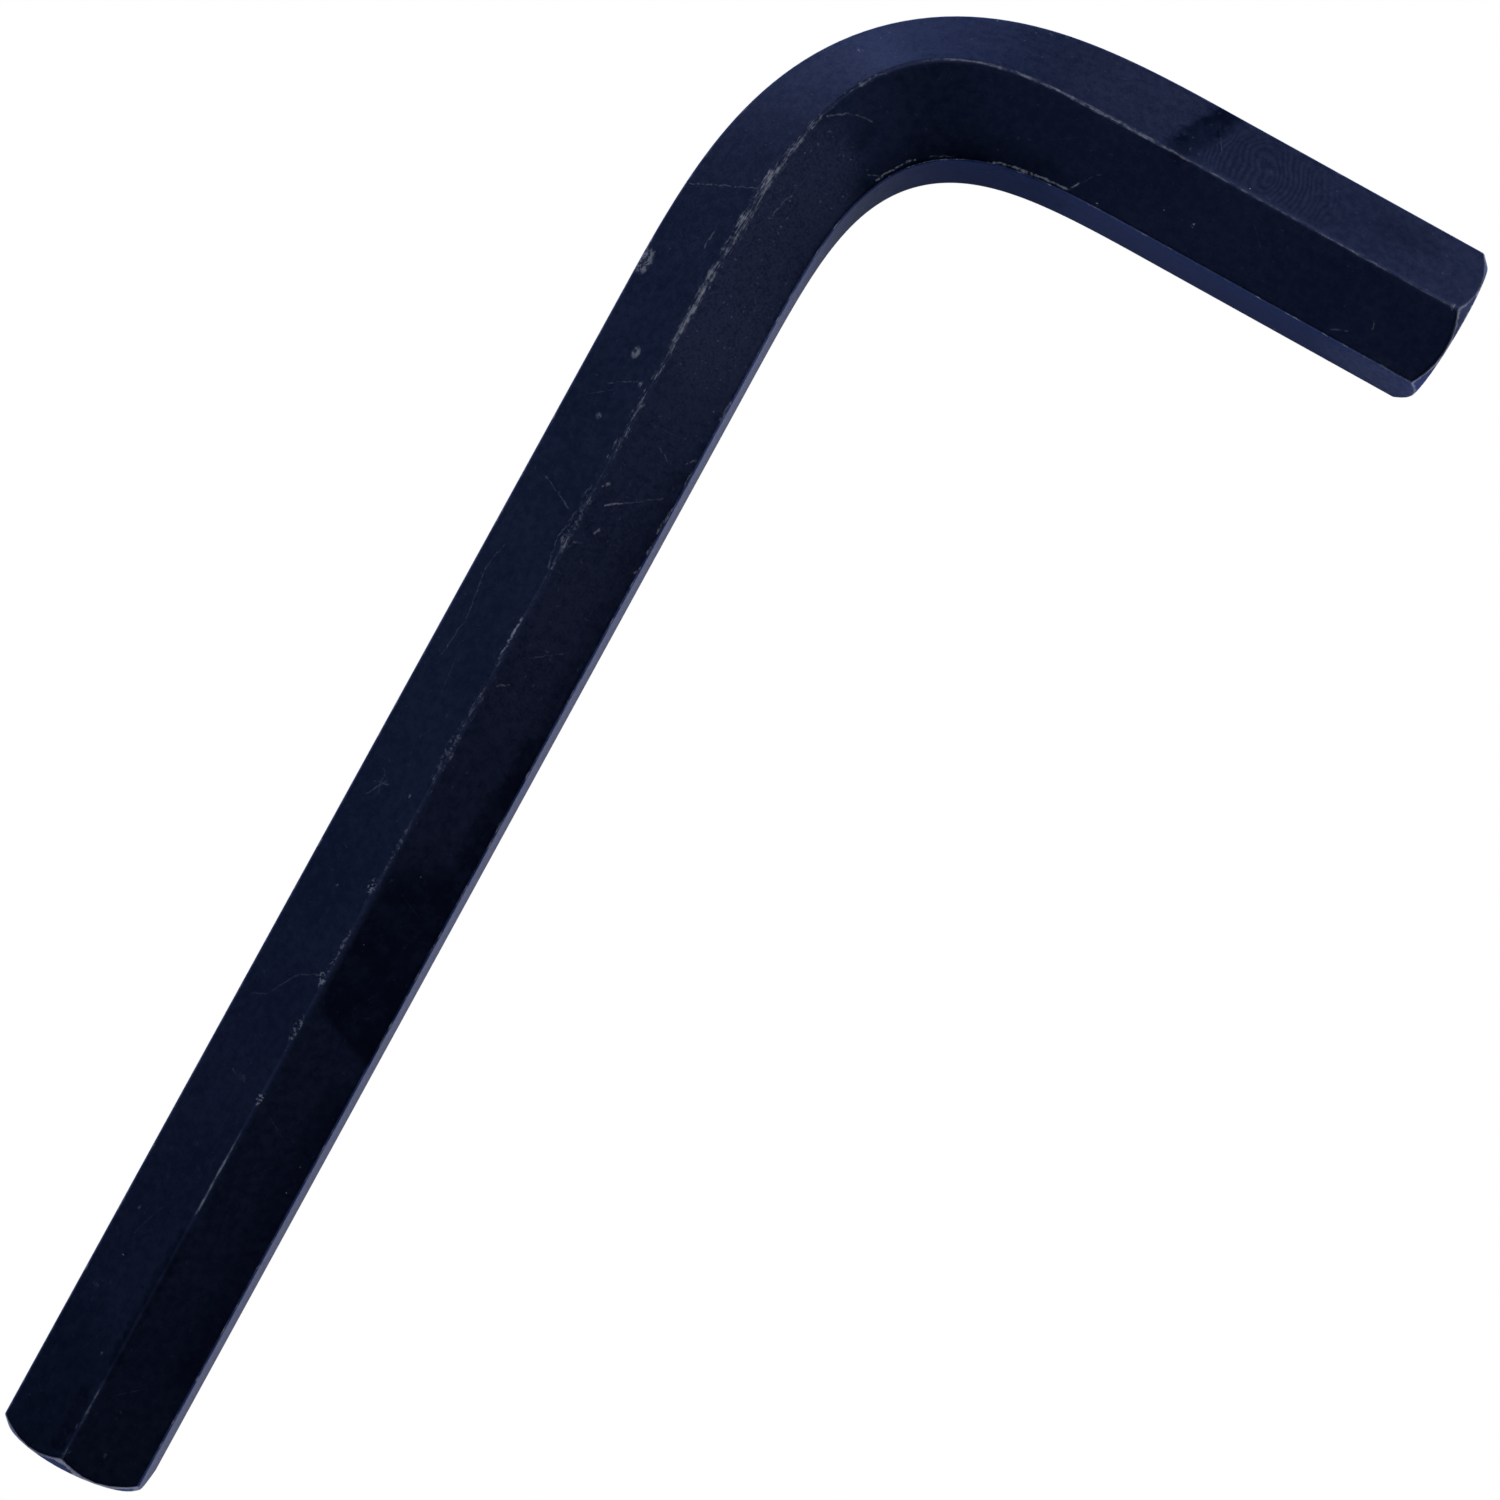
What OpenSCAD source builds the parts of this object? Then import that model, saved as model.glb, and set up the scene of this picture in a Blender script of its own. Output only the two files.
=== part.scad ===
// Large hex key: one length of hexagon bar, bent to an L and chamfered at both ends.
// It lies as it comes to rest on a bench, on one long edge of the hexagon. The bend is
// then level, one edge points straight up, and the inner and outer flats stand upright.
// The long arm runs along Y and the short arm along X. The origin is on the bench, under
// the middle of the box round the key.
// The bar was bent cold, so the bend has no single radius: it comes in slowly, is
// tightest halfway and leaves slowly, and the hexagon is squeezed most where it is tight.

/* [Hexagon bar] */
// Distance across two opposite flats
across_flats = 12; // [8:0.5:16]
// Radius of the six long edges
edge_radius = 0.5; // [0.1:0.05:0.8]

/* [Arms] */
// Length of the long arm, from its end face to the outer flat of the short arm
long_length = 137.8; // [110:0.1:180]
// Length of the short arm, from its end face to the outer flat of the long arm
short_length = 59.6; // [50:0.1:100]

/* [Bend] */
// Angle that the bar is turned through, in degrees
bend_turn = 90.75; // [80:0.05:95]
// Length of bar that the bend takes up
bend_span = 48.4; // [40:0.1:54]
// How much thinner the bar is between its inner and outer flats, at the tightest point
bend_thinning = 0.27; // [0:0.01:1]
// How far the middle of the bar sinks towards the inside of the bend there
bend_sink = 0.58; // [0:0.01:1.5]
// How far the top and bottom edges lag behind it, towards the outside of the bend
edge_lag = 1.46; // [0:0.01:2]
// How late they lag most: 1 is halfway round the bend, and more is nearer to its end
edge_late = 1.13; // [1:0.01:1.3]
// How far the compressed metal pushes each of the two inner edges up or down there
inner_spread = 0.7; // [0:0.01:1.2]

/* [Ends] */
// Depth of the chamfer, measured in from the corners of the hexagon towards its middle
chamfer_depth = 0.95; // [0.2:0.05:3]
// Slope of the chamfer, in degrees from the end face
chamfer_slope = 45; // [20:1:70]

/* [Smoothness] */
// Steps along the bend
bend_steps = 60; // [24:1:90]
// Steps round each long edge
edge_steps = 4; // [2:1:8]

/* [Hidden] */

black_oxide = [0.075, 0.08, 0.13];
corners = 6;
corner_turn = 360 / corners;
half_flats = across_flats / 2;

// Centre line of each rounded edge, and the reach of its rounded crown
edge_centre_r = (half_flats - edge_radius) / cos(corner_turn / 2);
corner_r = edge_centre_r + edge_radius;
// Half the height of an upright flat
half_edge = half_flats * tan(corner_turn / 2);

// The chamfer and the flat face it leaves, and the uncut bar beyond it
face_r = corner_r - chamfer_depth;
stock = across_flats / 4;
lathe_r = corner_r + stock;

// Arms measured along their centre lines, from the point where the two lines cross
long_axis = long_length - half_flats;
short_axis = short_length - half_flats;

// Heading of the bar after a share of the bend, from 0 to 1. Its slope is a raised
// cosine, so the curvature grows from nothing to a peak and dies away again.
function heading(share) = bend_turn * (share - sin(360 * share) / (2 * PI));

// How tight the bend is at that share, from 0 to 1, which is how much it squeezes the bar
function squeeze(share) = pow(sin(180 * share), 2);

// How far the top and bottom edges lag at that share, which comes on more suddenly
function lag(share) = edge_lag * pow(sin(180 * pow(share, edge_late)), 4);

// Unit vectors on the ground: along the bar, and out of the bend across the bar
function along(angle) = [sin(angle), cos(angle)];
function outward(angle) = [-cos(angle), sin(angle)];

// Centre line of the bend, walked in equal steps from its start at [0, 0]
function walk(count) = [
    for (i = 0, p = [0, 0]; i <= count;
         p = p + bend_span / count * along(heading((i + 0.5) / count)), i = i + 1) p
];
bend_walk = walk(bend_steps);
bend_end = bend_walk[bend_steps];

// Where the short arm's line meets the long arm's, which becomes the layout's corner
crossing = bend_end[1] - bend_end[0] / tan(bend_turn);
bend_path = [for (p = bend_walk) p - [0, crossing]];

// The hexagon with rounded edges as [out, up] points, the first edge pointing up
section = [
    for (corner = [0:corners - 1], i = [0:edge_steps])
        let (middle = corner * corner_turn)
        let (angle = middle + (i / edge_steps - 0.5) * corner_turn)
            edge_centre_r * [sin(middle), cos(middle)] + edge_radius * [sin(angle), cos(angle)]
];

// A section point where the bend is tight by a share and the edges lag by a length. The
// flats draw together and sink inwards, and the inner edges spread up and down. Each
// sloping flat stays flat across.
function squeezed(p, tight, lagging) =
    let (to_edge = max(0, (abs(p[1]) - half_edge) / (corner_r - half_edge)))
    let (to_inside = max(0, -p[0] / half_flats))
        [
            p[0] * (1 - tight * bend_thinning / across_flats)
                + lagging * to_edge - tight * bend_sink,
            p[1] + sign(p[1]) * tight * inner_spread * to_inside
        ];

// The section set up across the centre line at a point on the ground
function ring(centre, angle, tight, lagging) = [
    for (p = section)
        let (q = squeezed(p, tight, lagging))
        let (ground = centre + q[0] * outward(angle))
            [ground[0], ground[1], q[1]]
];

bend_rings = [
    for (i = [0:bend_steps])
        let (share = i / bend_steps)
            ring(bend_path[i], heading(share), squeeze(share), lag(share))
];
rings = concat(
    [ring(-(long_axis + stock) * along(0), 0, 0, 0)],
    bend_rings,
    [ring((short_axis + stock) * along(bend_turn), bend_turn, 0, 0)]
);

// The box round the finished key, which sets the origin
bend_top = max([for (r = bend_rings, p = r) p[1]]);
tip_top = short_axis * cos(bend_turn) + face_r * sin(bend_turn);
tip_right = short_axis * sin(bend_turn) + face_r * abs(cos(bend_turn));
box_middle = [(tip_right - half_flats) / 2, (max(bend_top, tip_top) - long_axis) / 2];

// The bar before its ends are turned: a tube of quads between rings, closed at both ends
module bent_bar() {
    count = len(section);
    last = (len(rings) - 1) * count;
    sides = [
        for (i = [0:len(rings) - 2], j = [0:count - 1])
            let (k = (j + 1) % count)
                [i * count + j, i * count + k, (i + 1) * count + k, (i + 1) * count + j]
    ];
    start_cap = [for (j = [0:count - 1]) count - 1 - j];
    end_cap = [for (j = [0:count - 1]) last + j];
    polyhedron(
        points = [for (r = rings, p = r) p],
        faces = concat(sides, [start_cap, end_cap]),
        convexity = 6
    );
}

// What the lathe takes off an end: all beyond the face at z = 0, and round the chamfer
module end_cut() {
    rise = (lathe_r - face_r) * tan(chamfer_slope);
    rotate_extrude($fn = 96)
        polygon([[0, 0], [face_r, 0], [lathe_r, -rise], [lathe_r, 2 * stock], [0, 2 * stock]]);
}

module hex_key() {
    color(black_oxide)
        translate([-box_middle[0], -box_middle[1], corner_r])
            difference() {
                bent_bar();
                translate([0, -long_axis, 0])
                    rotate([90, 0, 0])
                        end_cut();
                rotate([0, 0, 90 - bend_turn])
                    translate([short_axis, 0, 0])
                        rotate([0, 90, 0])
                            end_cut();
            }
}

hex_key();
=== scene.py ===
import math

import bpy
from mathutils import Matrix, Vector


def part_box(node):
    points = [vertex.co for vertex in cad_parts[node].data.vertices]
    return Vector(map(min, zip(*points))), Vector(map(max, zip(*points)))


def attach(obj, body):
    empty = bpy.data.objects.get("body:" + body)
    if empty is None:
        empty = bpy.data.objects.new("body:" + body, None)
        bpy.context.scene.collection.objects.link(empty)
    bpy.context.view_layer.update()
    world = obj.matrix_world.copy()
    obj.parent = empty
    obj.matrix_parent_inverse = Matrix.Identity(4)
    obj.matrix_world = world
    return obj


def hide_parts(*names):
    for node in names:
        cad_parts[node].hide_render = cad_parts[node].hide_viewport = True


# A large hex key of blackened steel. It lies on one long edge on a pale bench top, and the camera
# looks down on it. All lengths are metres unless a note says mm.

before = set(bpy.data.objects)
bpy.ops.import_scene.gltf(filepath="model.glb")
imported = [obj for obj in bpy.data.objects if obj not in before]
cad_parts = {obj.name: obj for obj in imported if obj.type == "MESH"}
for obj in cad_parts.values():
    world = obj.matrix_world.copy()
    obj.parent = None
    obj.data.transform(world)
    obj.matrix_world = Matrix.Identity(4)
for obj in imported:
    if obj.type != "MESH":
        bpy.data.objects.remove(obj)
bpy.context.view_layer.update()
print("frame loaded")

mmPerMetre = 1000
corners = 6             # of the hexagon
cornerTurn = 2 * math.pi / corners


class Wire:  # a node's socket, so that sums on it are written as Python
    def __init__(self, desk, socket):
        self.desk = desk
        self.socket = socket

    def other(self, name):  # another output of the same node
        return Wire(self.desk, self.socket.node.outputs[name])

    def __add__(self, value):
        return self.desk.maths("ADD", self, value)

    def __radd__(self, value):
        return self.desk.maths("ADD", value, self)

    def __sub__(self, value):
        return self.desk.maths("SUBTRACT", self, value)

    def __rsub__(self, value):
        return self.desk.maths("SUBTRACT", value, self)

    def __mul__(self, value):
        return self.desk.maths("MULTIPLY", self, value)

    def __rmul__(self, value):
        return self.desk.maths("MULTIPLY", value, self)

    def __truediv__(self, value):
        return self.desk.maths("DIVIDE", self, value)

    def __rtruediv__(self, value):
        return self.desk.maths("DIVIDE", value, self)


def fillRamp(elements, stops):
    while len(elements) < len(stops):
        elements.new(1.0)
    for element, (position, colour) in zip(elements, stops):
        element.position = position
        element.color = colour


class Desk:  # a node tree while it is being wired
    def __init__(self, tree):
        self.tree = tree

    def node(self, kind, settings=None, sockets=None, output=0):
        made = self.tree.nodes.new(kind)
        for name, value in (settings or {}).items():
            if name == "stops":
                fillRamp(made.color_ramp.elements, value)
            else:
                setattr(made, name, value)
        for name, value in (sockets or {}).items():
            if isinstance(value, Wire):
                self.tree.links.new(value.socket, made.inputs[name])
            else:
                made.inputs[name].default_value = value
        if made.outputs:
            return Wire(self, made.outputs[output])
        return None

    def maths(self, operation, *values):
        return self.node("ShaderNodeMath", {"operation": operation}, dict(enumerate(values)))

    def vectors(self, operation, *values, output=0):
        settings = {"operation": operation}
        return self.node("ShaderNodeVectorMath", settings, dict(enumerate(values)), output)

    def vector(self, x, y, z):
        return self.node("ShaderNodeCombineXYZ", None, {0: x, 1: y, 2: z})

    def split(self, vector):
        x = self.node("ShaderNodeSeparateXYZ", None, {0: vector}, "X")
        return x, x.other("Y"), x.other("Z")

    def rise(self, value, low, high, start=0.0, end=1.0):
        # Eased from start to end while the value goes from low to high
        sockets = {"Value": value, "From Min": low, "From Max": high, "To Min": start, "To Max": end}
        return self.node("ShaderNodeMapRange", {"interpolation_type": "SMOOTHSTEP"}, sockets)

    def share(self, value, first, length):  # straight from 0 to 1 over a length
        return self.node("ShaderNodeClamp", None, {"Value": (value - first) / length})

    def ease(self, share):  # closer steps near 0 and 1
        return 0.5 - 0.5 * self.maths("COSINE", share * math.pi)

    def noise(self, vector, kind):
        scale, detail, roughness = kind
        sockets = {"Vector": vector, "Scale": scale, "Detail": detail, "Roughness": roughness}
        return self.node("ShaderNodeTexNoise", None, sockets)

    def shiver(self, vector, kind):  # a noise that moves places about, by up to half each way
        moved = self.noise(vector, kind).other("Color")
        return self.vectors("SUBTRACT", moved, Vector((0.5, 0.5, 0.5)))

    def blend(self, amount, colourA, colourB):  # a Mix node's colours are sockets 6 and 7, and output 2
        settings = {"data_type": "RGBA", "clamp_factor": True}
        return self.node("ShaderNodeMix", settings, {0: amount, 6: colourA, 7: colourB}, 2)


# The key's form: bar, cold bend and turned ends

keyForm = {
    "acrossFlats": 0.012,
    "edgeRadius": 0.0005,
    "longLength": 0.1378,       # to the far flat of the other arm, as is the next
    "shortLength": 0.0596,
    "bendTurn": math.radians(90.75),
    "bendSpan": 0.0484,         # length of bar in the bend
    "bendThinning": 0.00027,    # how much thinner the bar is at the tightest point
    "bendSink": 0.00058,        # how far its middle sinks inwards there
    "innerSpread": 0.0007,      # how far its inner edges are pushed up and down there
    "edgeLag": 0.00146,         # how far its top and bottom edges lag outwards
    "edgeLate": 1.13,           # above 1 they lag most past the middle of the bend
    "lagPower": 4.0,            # how suddenly they do
    "chamferDepth": 0.00095,
    "chamferSlope": math.radians(45),
    "rimSoftness": 0.00003,     # how softly the face turns into the chamfer
    "edgePull": 0.000035,       # how far the chamfer's outer edge is worn in
    "edgeBack": 0.00032,        # how far behind that edge the last supporting ring lies
    "endStep": 0.0014,          # from an end face to the first plain ring of the bar
    "faceRings": 8,
    "chamferRings": 7,
    "supportRings": 2,          # behind the chamfer's outer edge, to keep it crisp
    "longRings": 60,
    "bendRings": 60,
    "shortRings": 24,
    "edgeSteps": 8,             # columns round a long edge, and across a flat
    "flatSteps": 8,
    "mergeWithin": 2e-7,
}


def bendReach(size):
    # The bend's end, seen from its start along +Y, walked in as many steps as it has rings
    x = 0.0
    y = 0.0
    step = size["bendSpan"] / size["bendRings"]
    for i in range(size["bendRings"]):
        share = (i + 0.5) / size["bendRings"]
        heading = size["bendTurn"] * (share - math.sin(2 * math.pi * share) / (2 * math.pi))
        x += step * math.sin(heading)
        y += step * math.cos(heading)
    return x, y


def barSizes(size):
    # What follows from the form: radii, and the straight lengths before and after the bend
    x, y = bendReach(size)
    turn = size["bendTurn"]
    halfFlats = size["acrossFlats"] / 2
    edgeCentre = (halfFlats - size["edgeRadius"]) / math.cos(cornerTurn / 2)
    cornerRadius = edgeCentre + size["edgeRadius"]
    return {
        "Edge Centre": edgeCentre,
        "Edge Radius": size["edgeRadius"],
        "Corner Radius": cornerRadius,
        "Half Flats": halfFlats,
        "Half Edge": halfFlats * math.tan(cornerTurn / 2),
        "Face Radius": cornerRadius - size["chamferDepth"],
        "Chamfer Rise": math.tan(size["chamferSlope"]),
        "Rim Softness": size["rimSoftness"],
        "Edge Pull": size["edgePull"],
        "Edge Back": size["edgeBack"],
        "End Step": size["endStep"],
        "Long Straight": size["longLength"] - halfFlats - (y - x / math.tan(turn)),
        "Short Straight": size["shortLength"] - halfFlats - x / math.sin(turn),
        "Bend Span": size["bendSpan"],
        "Bend Turn": turn,
        "Bend Thinning": size["bendThinning"],
        "Bend Sink": size["bendSink"],
        "Edge Lag": size["edgeLag"],
        "Edge Late": size["edgeLate"],
        "Inner Spread": size["innerSpread"],
    }


def keyTree(size, sizes):
    tree = bpy.data.node_groups.new("keyFromBar", "GeometryNodeTree")
    tree.is_modifier = True
    tree.interface.new_socket("Geometry", in_out="INPUT", socket_type="NodeSocketGeometry")
    for name in sizes:
        tree.interface.new_socket(name, in_out="INPUT", socket_type="NodeSocketFloat")
    tree.interface.new_socket("Start", in_out="INPUT", socket_type="NodeSocketVector")
    tree.interface.new_socket("Finish", in_out="INPUT", socket_type="NodeSocketMaterial")
    tree.interface.new_socket("Geometry", in_out="OUTPUT", socket_type="NodeSocketGeometry")
    desk = Desk(tree)
    given = desk.node("NodeGroupInput")

    endRings = size["faceRings"] + size["chamferRings"]
    longFirst = endRings + size["supportRings"] + 1
    bendFirst = longFirst + size["longRings"]
    shortFirst = bendFirst + size["bendRings"]
    shortLast = shortFirst + size["shortRings"]
    rings = shortLast + longFirst + 1               # the two ends have as many rings each
    perCorner = size["edgeSteps"] + size["flatSteps"]
    columns = corners * perCorner + 1
    endStep = given.other("End Step")
    longStraight = given.other("Long Straight")
    shortStraight = given.other("Short Straight")
    bendSpan = given.other("Bend Span")

    def distance(ring):  # how far along the bar a ring is
        along = desk.share(ring, longFirst - 1, 1) * endStep
        along = along + desk.share(ring, longFirst, size["longRings"]) * (longStraight - endStep)
        along = along + desk.share(ring, bendFirst, size["bendRings"]) * bendSpan
        along = along + desk.share(ring, shortFirst, size["shortRings"]) * (shortStraight - endStep)
        return along + desk.share(ring, shortLast, 1) * endStep

    def heading(along):
        share = desk.share(along, longStraight, bendSpan)
        wave = desk.maths("SINE", share * (2 * math.pi)) / (2 * math.pi)
        return given.other("Bend Turn") * (share - wave)

    # Centre line: a row of points, each moved on by the steps of all points before it
    row = desk.node("GeometryNodeMeshLine", {"mode": "OFFSET"}, {"Count": rings})
    ring = desk.node("GeometryNodeInputIndex")
    here = distance(ring)
    step = distance(ring + 1) - here
    middle = heading(here + step / 2)
    move = desk.vector(step * desk.maths("SINE", middle), step * desk.maths("COSINE", middle), 0.0)
    settings = {"data_type": "FLOAT_VECTOR"}
    walked = desk.node("GeometryNodeAccumulateField", settings, {0: move}, "Trailing")
    centres = desk.vectors("ADD", walked, given.other("Start"))

    # The bar's skin: a grid of rings and columns, wrapped round the centre line
    grid = desk.node("GeometryNodeMeshGrid", None, {"Vertices X": rings, "Vertices Y": columns})
    index = desk.node("GeometryNodeInputIndex")
    ring = desk.maths("FLOOR", (index + 0.5) / columns)
    column = index - ring * columns
    corner = desk.maths("FLOOR", (column + 0.5) / perCorner)
    place = column - corner * perCorner
    fromTop = corner - corners / 2                  # the first and last corner are the bottom one
    cornerAngle = fromTop * cornerTurn
    nextAngle = cornerAngle + cornerTurn
    turned = desk.share(place, 0, size["edgeSteps"])
    crownAngle = cornerAngle + (turned - 0.5) * cornerTurn
    crossed = desk.ease(desk.share(place, size["edgeSteps"], size["flatSteps"]))

    def across(function):
        near = desk.maths(function, cornerAngle)
        far = desk.maths(function, nextAngle)
        spoke = near + (far - near) * crossed
        crown = desk.maths(function, crownAngle)
        return given.other("Edge Centre") * spoke + given.other("Edge Radius") * crown

    out = across("SINE")
    up = across("COSINE")
    arc = given.other("Edge Radius") * cornerTurn
    flat = given.other("Edge Centre")               # a flat is as wide as its edge centres are far out
    around = fromTop * (arc + flat) + (turned - 0.5) * arc + crossed * flat

    # Cold bending: flats draw together and sink, inner edges spread, top and bottom edges lag
    along = distance(ring)
    turn = heading(along)
    bendShare = desk.share(along, longStraight, bendSpan)
    wave = desk.maths("SINE", bendShare * math.pi)
    tight = wave * wave
    halfFlats = given.other("Half Flats")
    halfEdge = given.other("Half Edge")
    cornerRadius = given.other("Corner Radius")
    high = desk.maths("ABSOLUTE", up)
    toEdge = desk.maths("MAXIMUM", (high - halfEdge) / (cornerRadius - halfEdge), 0.0)
    toInside = desk.maths("MAXIMUM", -1 * out / halfFlats, 0.0)
    thinner = 1 - tight * given.other("Bend Thinning") / (2 * halfFlats)
    lateShare = desk.maths("POWER", bendShare, given.other("Edge Late"))
    late = desk.maths("SINE", lateShare * math.pi)
    lag = desk.maths("POWER", late, size["lagPower"]) * given.other("Edge Lag") * toEdge
    bentOut = out * thinner + lag - tight * given.other("Bend Sink")
    high = high + tight * given.other("Inner Spread") * toInside
    bentUp = desk.maths("SIGN", up) * desk.maths("MINIMUM", high, cornerRadius)

    # Turned ends: rings grow from the middle of the face to its rim, then down the chamfer's cone
    fromEnd = desk.maths("MINIMUM", ring, rings - 1 - ring)
    faceRadius = given.other("Face Radius")
    faceShare = desk.maths("SINE", desk.share(fromEnd, 0, size["faceRings"]) * (math.pi / 2))
    coneShare = desk.ease(desk.share(fromEnd, size["faceRings"], size["chamferRings"]))
    radius = desk.maths("SQRT", bentOut * bentOut + bentUp * bentUp)
    atEdge = desk.maths("COMPARE", fromEnd, endRings, 0.5)
    turnedRadius = faceRadius * faceShare + coneShare * (radius - faceRadius)
    turnedRadius = turnedRadius - atEdge * given.other("Edge Pull")
    shrink = turnedRadius / radius
    soft = given.other("Rim Softness")
    pastRim = desk.maths("EXPONENT", (turnedRadius - faceRadius) / soft)
    cone = soft * desk.maths("LOGARITHM", 1 + pastRim, math.e)
    behind = desk.share(fromEnd, endRings, size["supportRings"])
    depth = cone * given.other("Chamfer Rise") + behind * behind * given.other("Edge Back")
    isEnd = desk.maths("LESS_THAN", fromEnd, longFirst - 0.5)
    side = desk.maths("SIGN", (rings - 1) / 2 - ring)
    cut = side * isEnd * depth

    sockets = {"Geometry": row, "Value": centres, "Index": ring}
    centre = desk.node("GeometryNodeSampleIndex", {"data_type": "FLOAT_VECTOR", "clamp": True}, sockets)
    sine = desk.maths("SINE", turn)
    cosine = desk.maths("COSINE", turn)
    x = cut * sine - bentOut * shrink * cosine
    y = cut * cosine + bentOut * shrink * sine
    position = desk.vectors("ADD", centre, desk.vector(x, y, bentUp * shrink))
    skin = desk.node("GeometryNodeSetPosition", None, {"Geometry": grid, "Position": position})

    # What the finish reads. barPlace: mm along the bar, round it from the top edge, and out from its
    # middle. endPlace: 1 on a turned end, 0 on the bar, and mm to the chamfer's outer edge and its rim.
    turnedPart = desk.share(fromEnd, endRings + 1, -1)
    edgeGap = (radius - turnedRadius) * mmPerMetre
    rimGap = (turnedRadius - faceRadius) * mmPerMetre
    places = {
        "barPlace": desk.vector(along * mmPerMetre, around * mmPerMetre, turnedRadius * mmPerMetre),
        "endPlace": desk.vector(turnedPart, edgeGap, rimGap),
    }
    for name, value in places.items():
        settings = {"data_type": "FLOAT_VECTOR", "domain": "POINT"}
        held = desk.node("GeometryNodeFieldOnDomain", settings, {0: value})
        settings = {"data_type": "FLOAT_VECTOR", "domain": "CORNER"}
        sockets = {"Geometry": skin, "Name": name, "Value": held}
        skin = desk.node("GeometryNodeStoreNamedAttribute", settings, sockets)

    sockets = {"Geometry": skin, "Distance": size["mergeWithin"]}
    skin = desk.node("GeometryNodeMergeByDistance", None, sockets)
    skin = desk.node("GeometryNodeSetShadeSmooth", None, {"Geometry": skin, "Shade Smooth": True})
    skin = desk.node("GeometryNodeRealizeInstances", None, {"Geometry": skin})
    sockets = {"Geometry": skin, "Material": given.other("Finish")}
    skin = desk.node("GeometryNodeSetMaterial", None, sockets)
    desk.node("NodeGroupOutput", None, {"Geometry": skin})
    return tree


def makeKey(size, material):
    low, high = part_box("hex_key")
    sizes = barSizes(size)
    start = (low[0] + sizes["Half Flats"], low[1], (low[2] + high[2]) / 2)
    tree = keyTree(size, sizes)
    key = bpy.data.objects.new("keyBody", bpy.data.meshes.new("keyBody"))
    bpy.context.scene.collection.objects.link(key)
    modifier = key.modifiers.new("keyFromBar", "NODES")
    modifier.node_group = tree
    values = dict(sizes, Start=start, Finish=material)
    for item in tree.interface.items_tree:
        if item.in_out == "INPUT" and item.name in values:
            modifier[item.identifier] = values[item.name]
    bpy.context.view_layer.update()
    ready = key.evaluated_get(bpy.context.evaluated_depsgraph_get())
    mesh = bpy.data.meshes.new_from_object(ready)
    key.modifiers.clear()
    key.data = mesh
    mesh.name = "keyBody"
    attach(key, "root")
    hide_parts("hex_key")
    return key


# The key's finish: oiled black oxide, with scuffs, scratches and a finger mark, and some painted shade
# and painted highlights.
# Its lengths are mm. Marks are placed along the bar from the long arm's end, and round it from the
# top edge, positive towards the outside of the bend. A window is the two values between which
# something comes in, and where there are four, the last two are its strength at each.

bar = barSizes(keyForm)
barLength = bar["Long Straight"] + bar["Bend Span"] + bar["Short Straight"]
edgePitch = bar["Edge Radius"] * cornerTurn + bar["Edge Centre"]    # from one long edge to the next
spotFade = (1.15, 0.55)         # where a soft spot ends and where it is full, in shares of its radius

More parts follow.
